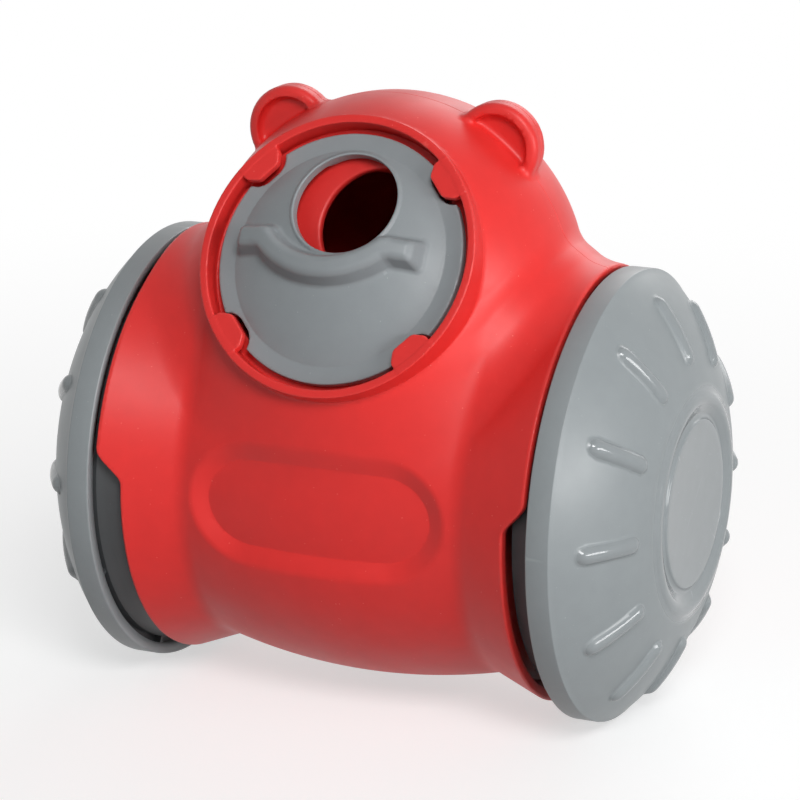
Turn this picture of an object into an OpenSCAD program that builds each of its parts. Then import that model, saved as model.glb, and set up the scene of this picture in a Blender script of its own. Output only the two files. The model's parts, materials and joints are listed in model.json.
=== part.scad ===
// Treat dispensing roller: a round-bellied body with a ball head, a twist lid and two free wheels.
// Millimetres. The wheels stand on the XY plane, X runs along the axle and the outlet faces -Y.

/* [Body] */
// Radius of the belly at its middle, measured from the axle
belly_r = 46.4; // [44:0.2:47.4]
// Radius of the long curve of the belly along the axle
belly_arc_r = 127; // [110:1:180]
// Distance of the crease beside the belly from the middle of the body
crease_x = 32.5; // [30:0.5:34]
// Depth of the crease below the middle of the belly
crease_deep = 4.2; // [3.4:0.2:5]
// Rise of the flared ends for each millimetre along the axle
flare_share = 0.4; // [0.34:0.01:0.42]
// Distance over which the crease is rounded
crease_soft = 2.4; // [1:0.2:4]
// Half length of the body over its flared ends
flare_x = 50.3; // [49.5:0.1:50.4]
// Half length of the body where the flared ends are cut back below
cutback_x = 45.1; // [44.5:0.1:45.3]
// Height above the axle where the cut-back begins
cutback_low = 3; // [1:0.5:5]
// Height above the axle where the flare reaches its full length
cutback_high = 11; // [9:0.5:14]
// Wall of the two body shells
wall = 2.4; // [2:0.1:2.8]

/* [Head and ears] */
// Radius of the ball head
head_r = 42.2; // [41:0.2:43]
// Depth of the middle of the head below the top of the belly
head_sink = 3.6; // [2.4:0.2:5.4]
// Radius of the hollow that joins head and belly
neck_r = 12; // [9:0.5:14]
// Angle of each ear from the top of the head
ear_turn = 37.2; // [35:0.2:39]
// Depth of the middle of each ear below the surface of the head
ear_sink = 1.5; // [0:0.1:3]
// Radius of each ear
ear_r = 9.8; // [9:0.1:10.4]
// Thickness of each ear in front of the seam
ear_front = 3.4; // [3.2:0.1:4.2]
// Thickness of each ear behind the seam
ear_back = 2.9; // [2.6:0.1:3.6]
// Radius of the hollow in the front of each ear
ear_hollow_r = 7.5; // [6.8:0.1:7.8]
// Depth of the hollow in the front of each ear
ear_hollow_depth = 1.6; // [1.2:0.1:2.2]
// Rounding of the rim of each ear
ear_round = 1.6; // [1.2:0.1:2]

/* [Belly panel] */
// Width of the sunk panel over its outer edge
panel_w = 60; // [54:0.5:61]
// Height of the sunk panel over its outer edge
panel_h = 28.4; // [25:0.2:30]
// Width of the sloping edge of the panel
panel_slope = 3.8; // [3:0.1:4.2]
// Height of the middle of the panel above the axle
panel_up = 1.4; // [0:0.2:3]
// Depth of the panel below the belly
panel_depth = 1.9; // [1.4:0.1:2.2]

/* [Shell screws] */
// Distance of the lower screws from the middle
low_screw_x = 26.5; // [24:0.5:28]
// Share of the belly's radius by which the lower screws lie below the axle
low_screw_share = 0.43; // [0.4:0.01:0.48]
// Distance of the upper screws from the middle
high_screw_x = 29.5; // [28:0.5:31]
// Share of the belly's radius by which the upper screws lie above the axle
high_screw_share = 0.4; // [0.34:0.01:0.42]
// Radius of the screw shanks that join the shells
shell_screw_r = 1.5; // [1.2:0.1:1.8]
// Radius of the heads of those screws
shell_head_r = 2.8; // [2.4:0.1:3.2]
// Height of the heads of those screws
shell_head_h = 2; // [1.6:0.1:2.4]
// Distance of the heads behind the seam
shell_head_y = 10; // [8:0.5:14]
// Length of those screws in front of the seam
shell_screw_len = 9; // [7:0.5:12]
// Wall of the screw wells and of the bosses
boss_wall = 1.6; // [1.3:0.1:2]

/* [Collar] */
// Depth of the middle of the collar's rim inside the ball of the head
collar_sink = 8.24; // [7.2:0.02:9.4]
// Angle at which that middle lies above the middle of the head
collar_rise = 21.96; // [20:0.02:24]
// Angle by which the outlet looks upward
collar_tilt = 29.5; // [28:0.5:31]
// Outer radius of the collar
collar_r = 31.6; // [31:0.1:32]
// Inner radius of the collar
collar_bore_r = 29.75; // [29.5:0.05:30]
// Rounding of the edges of the rim
rim_round = 0.5; // [0.3:0.05:0.7]
// Length of the collar behind its rim
collar_len = 12.6; // [12:0.1:14]
// Radius of the bore through the ledge under the lid
ledge_bore_r = 26.5; // [26.3:0.1:27]
// Angle of each bayonet tab from the sideways direction
tab_angle = 42; // [38:1:45]
// Distance of the inner edge of each tab from the outlet's axis
tab_in_r = 25.5; // [25.4:0.1:26]
// Width of each tab at the collar
tab_w = 11.6; // [10:0.2:12.4]
// Width of each tab at its inner edge
tab_tip_w = 6.2; // [5:0.2:7]
// Radial length of the straight sides of each tab
tab_side = 2.4; // [1.6:0.1:3]
// Thickness of each tab
tab_t = 1.9; // [1.5:0.1:1.9]

/* [Lid] */
// Radius of the lid over its flange
lid_r = 28; // [27.6:0.1:28.4]
// Depth of the face of the flange below the collar's rim
lid_sink = 2.3; // [2.2:0.1:2.8]
// Thickness of the flange of the lid
lid_flange_t = 2.4; // [2:0.1:2.6]
// Radius of the raised middle of the lid
lid_dome_r = 24.2; // [23.8:0.1:24.3]
// Rise of the middle of the lid over its flange
lid_dome_rise = 5; // [4:0.1:5.5]
// Wall of the raised middle of the lid
lid_wall = 2; // [1.6:0.1:2.2]
// Radius of the outlet hole in the lid
outlet_r = 11.7; // [10:0.1:11.8]
// Distance of the outlet hole from the middle of the lid
outlet_off = 11.35; // [11:0.05:11.6]
// Wall of the chimney around the outlet hole
chimney_wall = 1; // [0.8:0.05:1.1]
// Height of the lip of the chimney over the lid
lip_high = 0.5; // [0.3:0.05:0.8]
// Room around each tab in the notches of the lid
notch_room = 1.1; // [0.8:0.1:1.2]
// Running clearance of the lid around its spigot
lid_fit = 0.05; // [0.03:0.01:0.1]
// Wall of the skirt under the lid
skirt_wall = 1.5; // [1.3:0.1:1.5]
// Length of the skirt under the flange
skirt_len = 3.6; // [3:0.1:3.8]

/* [Lid grip] */
// Distance of each end of the grip from the middle of the lid
grip_half = 22.4; // [20:0.2:22.6]
// Width of the top of the grip
grip_w = 4.4; // [3.6:0.1:5]
// Distance of the straight ends of the grip above the middle of the lid
grip_arm_up = 2.1; // [1.5:0.1:3]
// Depth of the bow below the straight ends
grip_bow = 6.4; // [5:0.1:7]
// Half width of the bow
grip_bow_half = 14; // [12:0.5:16]
// Height of the grip over the raised middle
grip_high = 4; // [3:0.1:4.5]
// Flare of the sides of the grip from its top to its foot
grip_flare = 1.2; // [0.8:0.1:1.6]
// Rounding of the top edges of the grip
grip_round = 1.1; // [0.8:0.1:1.2]

/* [Throat plate] */
// Radius of the hole in the throat plate
throat_r = 12.8; // [12:0.1:13]
// Distance of the throat hole from the outlet's axis
throat_off = 10.3; // [9.8:0.1:10.4]
// Angle of the throat hole from the sideways direction
throat_angle = 58; // [50:1:65]
// Thickness of the throat plate
throat_t = 2; // [1.8:0.1:2.4]
// Radius of the spigot that carries the lid
spigot_r = 24.6; // [24.4:0.05:24.6]
// Gap between the lid and the parts it turns on
seat_gap = 0.3; // [0.25:0.05:0.35]

/* [Wheels] */
// Height of the wheels' rims over the middle of the belly
rim_over = 3.6; // [2.6:0.2:5.6]
// Distance of the inner edge of the rim from the middle
rim_in_x = 51.4; // [51:0.1:52]
// Distance of the outer edge of the rim from the middle
rim_out_x = 56.35; // [55.8:0.05:57]
// Wall of the rim
rim_wall = 2.4; // [2:0.1:2.8]
// Wall of the domed cap
cap_wall = 2.2; // [1.8:0.1:2.6]
// Outward bulge of the dome between rim and hub ring
dome_bulge = 0.95; // [0.3:0.05:1.4]
// Radius where the dome meets the hub ring
ring_out_r = 26; // [25.4:0.1:27]
// Distance of that circle from the middle
ring_base_x = 70.7; // [70:0.1:71.2]
// Radius of the crest of the hub ring
ring_crest_r = 23; // [22.6:0.1:23.4]
// Radius of the rounded section of the hub ring
ring_tube_r = 2.7; // [2.4:0.1:3]
// Distance of the crest of the hub ring from the middle
ring_crest_x = 71.9; // [71.6:0.1:72.4]
// Distance of the floor of the hub dish from the middle
dish_x = 67.4; // [66.8:0.1:68]
// Radius of the floor of the hub dish
dish_r = 17.4; // [16:0.2:18.4]
// Number of raised bars on each wheel
bars = 12; // [8:1:14]
// Distance of the inner end of each bar from the axle
bar_in_r = 30.2; // [29.5:0.1:31]
// Distance of the outer end of each bar from the edge of the wheel
bar_edge = 5.4; // [4.4:0.1:7]
// Radius of the rounded back of each bar
bar_r = 2.3; // [2:0.1:2.6]
// Height of each bar above the dome
bar_high = 1.6; // [1.2:0.1:1.9]

/* [Wheel drums] */
// Depth of the drum below the edge of the wheel
drum_deep = 4; // [3.8:0.1:4.4]
// Distance of the drum's inner end from the middle
drum_in_x = 45.9; // [45.6:0.1:46.4]
// Taper of the drum from the rim to its inner end
drum_taper = 2.6; // [2.4:0.1:3.2]
// Wall of the drum
drum_wall = 2; // [1.6:0.1:2.2]
// Distance of the inner face of the drum's web from the middle
web_x = 53.6; // [53:0.1:53.8]
// Thickness of the drum's web
web_t = 1.8; // [1.5:0.1:1.8]
// Outer radius of the drum's hub
hub_r = 9; // [8:0.2:10]
// Number of ribs between the drum's hub and its wall
drum_ribs = 8; // [6:1:10]
// Thickness of the ribs between the drum's hub and its wall
drum_rib_t = 1.6; // [1.2:0.1:2]
// Depth of the ribs between the drum's hub and its wall
drum_rib_deep = 5; // [3:0.5:7]
// Thickness of the small ribs between rim and drum
rim_rib_t = 0.9; // [0.7:0.1:1.2]

/* [Axles] */
// Radius of the axle pins
pin_r = 4; // [3.6:0.1:4.4]
// Running clearance between pin and bush
pin_fit = 0.05; // [0.03:0.01:0.1]
// Wall of the bushes
bush_wall = 1.5; // [1.2:0.1:1.8]
// Radius of the flange at the inner end of each pin
pin_flange_r = 6.6; // [6:0.1:7.4]
// Thickness of that flange
pin_flange_t = 2; // [1.6:0.1:2.4]
// Distance of the outer end of the axle pins from the middle
pin_out_x = 58.6; // [58.2:0.1:59]
// Radius of the washers
washer_r = 7.4; // [6.8:0.1:8]
// Thickness of the washers
washer_t = 1.2; // [1:0.1:1.4]
// Radius of the screw heads on the axle pins
axle_head_r = 4.6; // [4.2:0.1:5]
// Height of the screw heads on the axle pins
axle_head_h = 2.6; // [2.2:0.1:3]
// Radius of the screw shanks in the axle pins
axle_screw_r = 2; // [1.6:0.1:2.2]
// Length of the screw shanks below their heads
axle_screw_len = 10; // [8:0.5:12]
// Side play of each wheel on its pin
side_play = 0.4; // [0.3:0.05:0.6]

/* [End plates] */
// Distance of the inner face of the end plates from the middle
plate_x = 38.6; // [38:0.1:39]
// Thickness of the end plates
plate_t = 2.4; // [2:0.1:2.6]
// Radius of the boss around each axle pin
boss_r = 8; // [7.4:0.2:8.8]
// Distance of the inner end of the boss from the middle
boss_in_x = 34; // [33:0.5:35]
// Distance of the outer end of the boss from the middle
boss_out_x = 42; // [41.6:0.1:42.4]
// Number of ribs around each boss
plate_ribs = 6; // [4:1:8]
// Thickness of the ribs around each boss
plate_rib_t = 1.6; // [1.2:0.1:2]
// Distance of the outer end of those ribs from the axle
plate_rib_r = 30; // [20:1:36]
// Depth of those ribs
plate_rib_deep = 3; // [2:0.5:4]

/* [Ballast] */
// Half length of the steel ballast along the axle
ballast_half = 18; // [16:0.5:19]
// Height of the steel ballast at its middle
ballast_high = 10.7; // [9:0.1:12.2]
// Gap between the rounded underside of the ballast and the inside of the belly
ballast_lift = 3.8; // [3.6:0.1:4.4]
// Half width of the ballast across the axle
ballast_side = 20; // [17:0.5:21]
// Wall of the cover over the ballast
cover_t = 1.8; // [1.4:0.1:2]
// Room between the ballast and its cover
cover_gap = 0.2; // [0.15:0.05:0.3]
// Distance of each cover screw from the middle
cover_screw_x = 11; // [9:0.5:13]
// Radius of the screws that hold the cover
cover_screw_r = 1.5; // [1.2:0.1:1.8]
// Radius of the heads of the cover screws
cover_head_r = 2.9; // [2.6:0.1:3.2]
// Height of the heads of the cover screws
cover_head_h = 1.8; // [1.4:0.1:2]
// Length of the cover screws below their heads
cover_screw_len = 7; // [6:0.5:8]

/* [Hidden] */
$fn = 96;

// Overrun of cutting shapes
over = 1;
// Gap left between pieces that are seated on each other
snug = 0.02;
// Depth to which joined shapes run into each other
bite = 0.4;

red = "#d83436";
pale_gray = "#979da1";
dark_gray = "#71767a";
steel = "#b9bcc0";
brass = "#c2a25a";

// Places that follow the belly, the head and the wheels
crease_r = belly_r - crease_deep;
head_up = belly_r - head_sink;
ear_x = (head_r - ear_sink)*sin(ear_turn);
ear_up = head_up + (head_r - ear_sink)*cos(ear_turn);
collar_fore = (head_r - collar_sink)*cos(collar_rise);
collar_up = head_up + (head_r - collar_sink)*sin(collar_rise);
low_screw_down = low_screw_share*belly_r;
high_screw_up = high_screw_share*belly_r;
wheel_r = belly_r + rim_over;
rim_bore_r = wheel_r - rim_wall;
bar_out_r = wheel_r - bar_edge;
drum_r = wheel_r - drum_deep;
drum_tip_r = drum_r - drum_taper;
ballast_r = belly_r - wall - ballast_lift;
ballast_top = ballast_r - ballast_high;

// Skin of the body: spool, ball head and the hollow between them
lean = norm([1, flare_share]);
seam_step = 7.5;
start_in = crease_r/2;
start_out = head_up + head_r + neck_r;
halvings = 18;

function smooth_max(a, b, k) =
    let (near = max(k - abs(a - b), 0)/k) max(a, b) + near*near*k/4;
function spool_r(x) = smooth_max(
    belly_r - x*x/(2*belly_arc_r), crease_r + flare_share*(abs(x) - crease_x), crease_soft);
function joined(a, b, r) = max(r, min(a, b)) - norm([max(r - a, 0), max(r - b, 0)]);
function skin_gap(x, q, t) = joined(
    (q - spool_r(x))/lean, norm([x, q*sin(t), q*cos(t) + head_up]) - head_r, neck_r);
// Radius from the axle at which the skin is depth deep, in the direction t from straight down
function skin_r(x, t, depth, low = start_in, high = start_out, n = halvings) =
    n == 0 ? (low + high)/2 :
    let (mid = (low + high)/2)
    skin_gap(x, mid, t) + depth > 0 ?
        skin_r(x, t, depth, low, mid, n - 1) : skin_r(x, t, depth, mid, high, n - 1);

// Half length of the body in the direction t: full above, cut back below
edge_r = crease_r + flare_share*(flare_x - crease_x);
function ease(s) = let (c = min(max(s, 0), 1)) c*c*(3 - 2*c);
function end_x(t) = cutback_x + (flare_x - cutback_x)
    *ease((-edge_r*cos(t) - cutback_low)/(cutback_high - cutback_low));

// Thicker lining behind the panel of the front shell
panel_turn = 90 + asin(panel_up/belly_r);
function window(v, edge) = ease((edge - abs(v))/(2*panel_slope) + 1);
function lining_pad(x, t, side) = side < 0 ? 0 :
    panel_depth*window(x, panel_w/2)*window((t - panel_turn)/180*PI*belly_r, panel_h/2);

end_shares = [0.1, 0.2, 0.28, 0.36, 0.44, 0.51, 0.57, 0.62, 0.66, 0.71, 0.76, 0.81, 0.86, 0.91, 0.955, 1];
stations = [for (i = [len(end_shares) - 1:-1:0]) -end_shares[i], 0, each end_shares];
angles = [for (t = [0:seam_step:90]) t, for (t = [92:2:106]) t, for (t = [110.625:4.625:180]) t];

function skin_point(s, t, depth, side) =
    let (x = s*end_x(t),
         q = skin_r(x, t, depth == 0 ? 0 : depth + lining_pad(x, t, side)))
    [x, -side*q*sin(t), wheel_r - q*cos(t)];

// One half of the hollow body: side is 1 for the front and -1 for the rear
module half_shell(side) {
    rows = len(stations);
    cols = len(angles);
    far = rows*cols;
    outside = [for (s = stations) for (t = angles) skin_point(s, t, 0, side)];
    inside = [for (s = stations) for (t = angles) skin_point(s, t, wall, side)];
    function at(i, j) = i*cols + j;
    skin = [for (i = [0:rows - 2]) for (j = [0:cols - 2]) each [
        [at(i, j), at(i, j + 1), at(i + 1, j + 1)],
        [at(i, j), at(i + 1, j + 1), at(i + 1, j)]]];
    lining = [for (f = skin) [f[2] + far, f[1] + far, f[0] + far]];
    ends = [for (j = [0:cols - 2]) each [
        [at(0, j), at(0, j) + far, at(0, j + 1) + far],
        [at(0, j), at(0, j + 1) + far, at(0, j + 1)],
        [at(rows - 1, j), at(rows - 1, j + 1) + far, at(rows - 1, j) + far],
        [at(rows - 1, j), at(rows - 1, j + 1), at(rows - 1, j + 1) + far]]];
    seams = [for (i = [0:rows - 2]) each [
        [at(i, 0), at(i + 1, 0), at(i + 1, 0) + far],
        [at(i, 0), at(i + 1, 0) + far, at(i, 0) + far],
        [at(i, cols - 1), at(i + 1, cols - 1) + far, at(i + 1, cols - 1)],
        [at(i, cols - 1), at(i, cols - 1) + far, at(i + 1, cols - 1) + far]]];
    faces = [for (f = concat(skin, lining, ends, seams)) side > 0 ? f : [f[2], f[1], f[0]]];
    polyhedron(points = concat(outside, inside), faces = faces, convexity = 8);
}

// Frames: along the axle outward from the middle, and along the outlet with its rim at zero
module on_axle() {
    translate([0, 0, wheel_r]) rotate([0, 90, 0]) children();
}
module on_outlet() {
    translate([0, -collar_fore, wheel_r + collar_up]) rotate([90 - collar_tilt, 0, 0]) children();
}
module left() {
    mirror([1, 0, 0]) children();
}

// Solid of the belly, shrunk by inset
module belly_core(inset) {
    centre = belly_arc_r - belly_r;
    on_axle() rotate_extrude() intersection() {
        translate([-centre, 0]) circle(belly_arc_r - inset);
        translate([0, -flare_x]) square([belly_r, 2*flare_x]);
    }
}

// Half of each ear, on one side of the seam, joined into the wall of the head
module ear_half(thick, hollow) {
    rotate_extrude() difference() {
        intersection() {
            union() {
                square([ear_r - ear_round, thick]);
                square([ear_r, thick - ear_round]);
                translate([ear_r - ear_round, thick - ear_round]) circle(ear_round);
            }
            square([ear_r, thick]);
        }
        translate([0, thick - hollow]) square([ear_hollow_r, hollow + over]);
    }
}
module ears(side) {
    difference() {
        for (hand = [-1, 1]) translate([hand*ear_x, 0, wheel_r + ear_up])
            rotate([side*90, 0, 0])
            ear_half(side > 0 ? ear_front : ear_back, side > 0 ? ear_hollow_depth : 0);
        translate([0, 0, wheel_r + head_up]) rotate([0, 0, 45]) sphere(head_r - wall/2);
    }
}

// Places of the screws that join the shells
module at_shell_screws() {
    for (hand = [-1, 1]) {
        translate([hand*low_screw_x, 0, wheel_r - low_screw_down]) rotate([-90, 0, 0]) children();
        translate([hand*high_screw_x, 0, wheel_r + high_screw_up]) rotate([-90, 0, 0]) children();
    }
}

// Tool that sinks the panel: rings round its middle line, a floor that follows the belly and a roof
panel_end_x = (panel_w - panel_h)/2;
panel_inner_r = panel_h/2 - panel_slope;
panel_arc = [for (turn = [-90:15:90]) turn];
arc_mid = (len(panel_arc) - 1)/2;
panel_run_shares = [for (i = [-1:0.25:1]) i];
function on_belly(x, s, depth) =
    let (t = panel_turn + s/belly_r*180/PI, q = spool_r(x) - depth)
    [x, -q*sin(t), wheel_r - q*cos(t)];
function panel_ring(r, depth) = [
    for (i = [arc_mid:len(panel_arc) - 2]) let (turn = panel_arc[i])
        on_belly(panel_end_x + r*cos(turn), r*sin(turn), depth),
    for (i = [len(panel_run_shares) - 1:-1:0]) on_belly(panel_run_shares[i]*panel_end_x, r, depth),
    for (i = [len(panel_arc) - 2:-1:1]) let (turn = panel_arc[i])
        on_belly(-panel_end_x - r*cos(turn), r*sin(turn), depth),
    for (share = panel_run_shares) on_belly(share*panel_end_x, -r, depth),
    for (i = [1:arc_mid - 1]) let (turn = panel_arc[i])
        on_belly(panel_end_x + r*cos(turn), r*sin(turn), depth)];
module panel_tool() {
    rings = [
        panel_ring(0.3*panel_inner_r, panel_depth),
        panel_ring(0.65*panel_inner_r, panel_depth),
        panel_ring(panel_inner_r, panel_depth),
        panel_ring(panel_h/2 + panel_slope*over/panel_depth, -over),
        panel_ring(panel_inner_r, -2*over),
        panel_ring(0.3*panel_inner_r, -2*over)];
    n = len(rings[0]);
    last = (len(rings) - 1)*n;
    bands = [for (k = [0:len(rings) - 2]) for (i = [0:n - 1]) let (j = (i + 1)%n) each [
        [k*n + i, (k + 1)*n + j, k*n + j], [k*n + i, (k + 1)*n + i, (k + 1)*n + j]]];
    middle = [for (i = [1:n/2 - 2]) each [[i, n - i - 1, n - i], [i, i + 1, n - i - 1]]];
    tips = [[0, 1, n - 1], [n/2 - 1, n/2, n/2 + 1]];
    floor = concat(middle, tips);
    roof = [for (f = floor) [last + f[2], last + f[1], last + f[0]]];
    polyhedron(points = [for (ring = rings) each ring], faces = concat(bands, floor, roof), convexity = 4);
}

module front_shell() {
    color(red) difference() {
        union() {
            half_shell(1);
            ears(1);
            intersection() {
                belly_core(wall/2);
                at_shell_screws() translate([0, 0, -belly_r])
                    cylinder(r = shell_screw_r + boss_wall, h = belly_r);
            }
        }
        on_outlet() translate([0, 0, -2*collar_len]) cylinder(r = collar_r + snug, h = 3*collar_len);
        panel_tool();
        at_shell_screws() translate([0, 0, -shell_screw_len - over])
            cylinder(r = shell_screw_r + snug, h = shell_screw_len + 2*over);
    }
}

module rear_shell() {
    color(red) difference() {
        union() {
            half_shell(-1);
            ears(-1);
            intersection() {
                belly_core(wall/2);
                at_shell_screws() cylinder(r = shell_head_r + boss_wall, h = belly_r);
            }
        }
        at_shell_screws() translate([0, 0, shell_head_y]) cylinder(r = shell_head_r + bite, h = belly_r);
        at_shell_screws() translate([0, 0, -over])
            cylinder(r = shell_screw_r + snug, h = shell_head_y + 2*over);
    }
}

// Screw with its shank below the head and a cross in it; the head's underside is at zero
module screw(shank_r, shank_len, head_r, head_h) {
    difference() {
        union() {
            translate([0, 0, -shank_len]) cylinder(r = shank_r, h = shank_len);
            cylinder(r = head_r, h = head_h/2);
            translate([0, 0, head_h/2]) cylinder(r1 = head_r, r2 = head_r*0.72, h = head_h/2);
        }
        for (turn = [0, 90]) rotate([0, 0, turn])
            translate([-head_r*0.55, -head_r*0.12, head_h*0.45])
            cube([head_r*1.1, head_r*0.24, head_h]);
    }
}
module shell_screws() {
    color(steel) at_shell_screws() translate([0, 0, shell_head_y + snug])
        screw(shell_screw_r, shell_head_y + shell_screw_len, shell_head_r, shell_head_h);
}

// Outlet: collar with four tabs and the ledge under the lid
ledge_z = -lid_sink - lid_flange_t - seat_gap;
plate_top_z = -collar_len + throat_t + bite;
module tab_outline(room) {
    polygon([
        [collar_bore_r + bite, -tab_w/2 - room],
        [tab_in_r + tab_side - room, -tab_w/2 - room],
        [tab_in_r - room, -tab_tip_w/2 - room],
        [tab_in_r - room, tab_tip_w/2 + room],
        [tab_in_r + tab_side - room, tab_w/2 + room],
        [collar_bore_r + bite, tab_w/2 + room]]);
}
module at_tabs() {
    for (turn = [tab_angle, 180 - tab_angle, 180 + tab_angle, -tab_angle])
        rotate([0, 0, turn]) children();
}
module outlet_collar() {
    thick = collar_r - collar_bore_r;
    color(red) on_outlet() {
        rotate_extrude() {
            translate([collar_bore_r, -collar_len]) square([thick, collar_len - rim_round]);
            translate([collar_bore_r + rim_round, -collar_len]) square([thick - 2*rim_round, collar_len]);
            for (r = [collar_bore_r + rim_round, collar_r - rim_round])
                translate([r, -rim_round]) circle(rim_round);
            translate([ledge_bore_r, plate_top_z])
                square([collar_r - rim_round - ledge_bore_r, ledge_z - plate_top_z]);
        }
        at_tabs() translate([0, 0, -tab_t]) linear_extrude(tab_t) tab_outline(0);
    }
}

// Throat plate: a spigot for the lid, closed but for the throat hole
module throat_plate() {
    top = -lid_sink - lid_flange_t - 2*seat_gap;
    color(red) on_outlet() difference() {
        rotate_extrude() {
            translate([0, top - throat_t]) square([spigot_r, throat_t]);
            translate([spigot_r - throat_t, plate_top_z - throat_t])
                square([throat_t, top - plate_top_z + throat_t]);
            translate([spigot_r - throat_t, plate_top_z - throat_t])
                square([collar_bore_r - snug - spigot_r + throat_t, throat_t - snug]);
        }
        rotate([0, 0, throat_angle]) translate([throat_off, 0, -collar_len - over])
            cylinder(r = throat_r, h = collar_len + over);
    }
}

// Lid: flange, shallow dome, skirt, outlet chimney and bowed grip
dome_r = (lid_dome_r*lid_dome_r + lid_dome_rise*lid_dome_rise)/(2*lid_dome_rise);
dome_z = lid_dome_rise - lid_sink - dome_r;
function on_dome(x, y) = dome_z + sqrt(dome_r*dome_r - x*x - y*y);
function grip_line(x) = grip_arm_up
    - (abs(x) < grip_bow_half ? grip_bow*(1 + cos(180*x/grip_bow_half))/2 : 0);

// Grip as rings of points across its line, cut off by a round that shares the lid's axis
grip_steps = 12;
grip_half_section = [
    [grip_w/2 + grip_flare, -lid_wall/2],
    [grip_w/2 + grip_flare/2, grip_high/3],
    for (a = [0:22.5:90]) [
        grip_w/2 - grip_round*(1 - cos(a)) + grip_flare/8,
        grip_high - grip_round*(1 - sin(a))]];
grip_section = [
    for (p = grip_half_section) p,
    for (k = [len(grip_half_section) - 1:-1:0]) [-grip_half_section[k][0], grip_half_section[k][1]]];
module grip_bar() {
    rings = [for (i = [-grip_steps - 1:grip_steps + 1])
        let (x = i*grip_half/grip_steps, y = grip_line(x), step = grip_half/1000,
             slope = (grip_line(x + step) - grip_line(x - step))/(2*step),
             across = [-slope, 1]/norm([slope, 1]))
        [for (p = grip_section) [x + p[0]*across[0], y + p[0]*across[1], on_dome(x, y) + p[1]]]];
    n = len(grip_section);
    last = len(rings) - 1;
    walls = [for (i = [0:last - 1]) for (k = [0:n - 1]) let (m = (k + 1)%n) each [
        [i*n + k, (i + 1)*n + m, i*n + m], [i*n + k, (i + 1)*n + k, (i + 1)*n + m]]];
    polyhedron(
        points = [for (ring = rings) each ring],
        faces = concat([[for (k = [0:n - 1]) k]], walls, [[for (k = [n - 1:-1:0]) last*n + k]]),
        convexity = 6);
}
module grip() {
    top = on_dome(grip_half, 0) + grip_high;
    steep = 60;
    intersection() {
        grip_bar();
        rotate_extrude() polygon([
            [0, -lid_sink - lid_flange_t],
            [grip_half, -lid_sink - lid_flange_t],
            for (a = [0:steep/4:steep])
                [grip_half - grip_round*(1 - cos(a)), top - grip_round*(1 - sin(a))],
            [grip_half - grip_high*tan(steep), top + grip_high],
            [0, top + 2*grip_high]]);
    }
}
module twist_lid() {
    low = -lid_sink - lid_flange_t;
    skirt_r = spigot_r + lid_fit;
    color(pale_gray) on_outlet() difference() {
        union() {
            rotate_extrude() {
                intersection() {
                    translate([0, dome_z]) difference() {
                        circle(dome_r);
                        circle(dome_r - lid_wall);
                    }
                    translate([0, low]) square([lid_dome_r, lid_r]);
                }
                translate([lid_dome_r - lid_wall, low]) square([lid_r - lid_dome_r + lid_wall, lid_flange_t]);
                translate([skirt_r, low - skirt_len]) square([skirt_wall, skirt_len + bite]);
            }
            intersection() {
                translate([0, outlet_off, low - seat_gap/2])
                    cylinder(r = outlet_r + chimney_wall, h = lid_r);
                translate([0, 0, dome_z]) sphere(dome_r + lip_high);
            }
            grip();
        }
        translate([0, outlet_off, low - skirt_len]) cylinder(r = outlet_r, h = lid_r);
        at_tabs() translate([0, 0, low - skirt_len - over]) linear_extrude(skirt_len + 2*lid_r)
            tab_outline(notch_room);
    }
}

// End plates that close the flared ends and carry the axle pins
plate_in_r = (spool_r(plate_x) - wall*lean)*cos(seam_step/2) - 2*snug;
plate_out_r = (spool_r(plate_x + plate_t) - wall*lean)*cos(seam_step/2) - 2*snug;
module end_plate() {
    color(red) on_axle() difference() {
        union() {
            rotate_extrude() polygon([
                [0, boss_in_x], [boss_r, boss_in_x], [boss_r, plate_x], [plate_in_r, plate_x],
                [plate_out_r, plate_x + plate_t], [boss_r, plate_x + plate_t],
                [boss_r, boss_out_x], [0, boss_out_x]]);
            for (i = [0:plate_ribs - 1]) rotate([0, 0, i*360/plate_ribs])
                translate([boss_r - bite, -plate_rib_t/2, plate_x - plate_rib_deep])
                cube([plate_rib_r - boss_r + bite, plate_rib_t, plate_rib_deep + bite]);
        }
        translate([0, 0, boss_in_x - over])
            cylinder(r = pin_r + snug, h = boss_out_x - boss_in_x + 2*over);
    }
}

module axle_pin() {
    in_x = boss_in_x - snug - pin_flange_t;
    color(steel) on_axle() difference() {
        union() {
            translate([0, 0, in_x]) cylinder(r = pin_flange_r, h = pin_flange_t);
            translate([0, 0, in_x]) cylinder(r = pin_r, h = pin_out_x - in_x);
        }
        translate([0, 0, pin_out_x + washer_t - axle_screw_len - over])
            cylinder(r = axle_screw_r + snug, h = axle_screw_len + over);
    }
}
module bush() {
    in_x = boss_out_x + side_play;
    color(brass) on_axle() translate([0, 0, in_x]) difference() {
        cylinder(r = pin_r + pin_fit + bush_wall, h = pin_out_x - seat_gap - in_x);
        translate([0, 0, -over]) cylinder(r = pin_r + pin_fit, h = pin_out_x);
    }
}
module washer() {
    color(steel) on_axle() translate([0, 0, pin_out_x + snug]) difference() {
        cylinder(r = washer_r, h = washer_t);
        translate([0, 0, -over]) cylinder(r = axle_screw_r + bite/2, h = washer_t + 2*over);
    }
}
module axle_screw() {
    color(steel) on_axle() translate([0, 0, pin_out_x + washer_t + 2*snug])
        screw(axle_screw_r, axle_screw_len - over, axle_head_r, axle_head_h);
}

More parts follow.
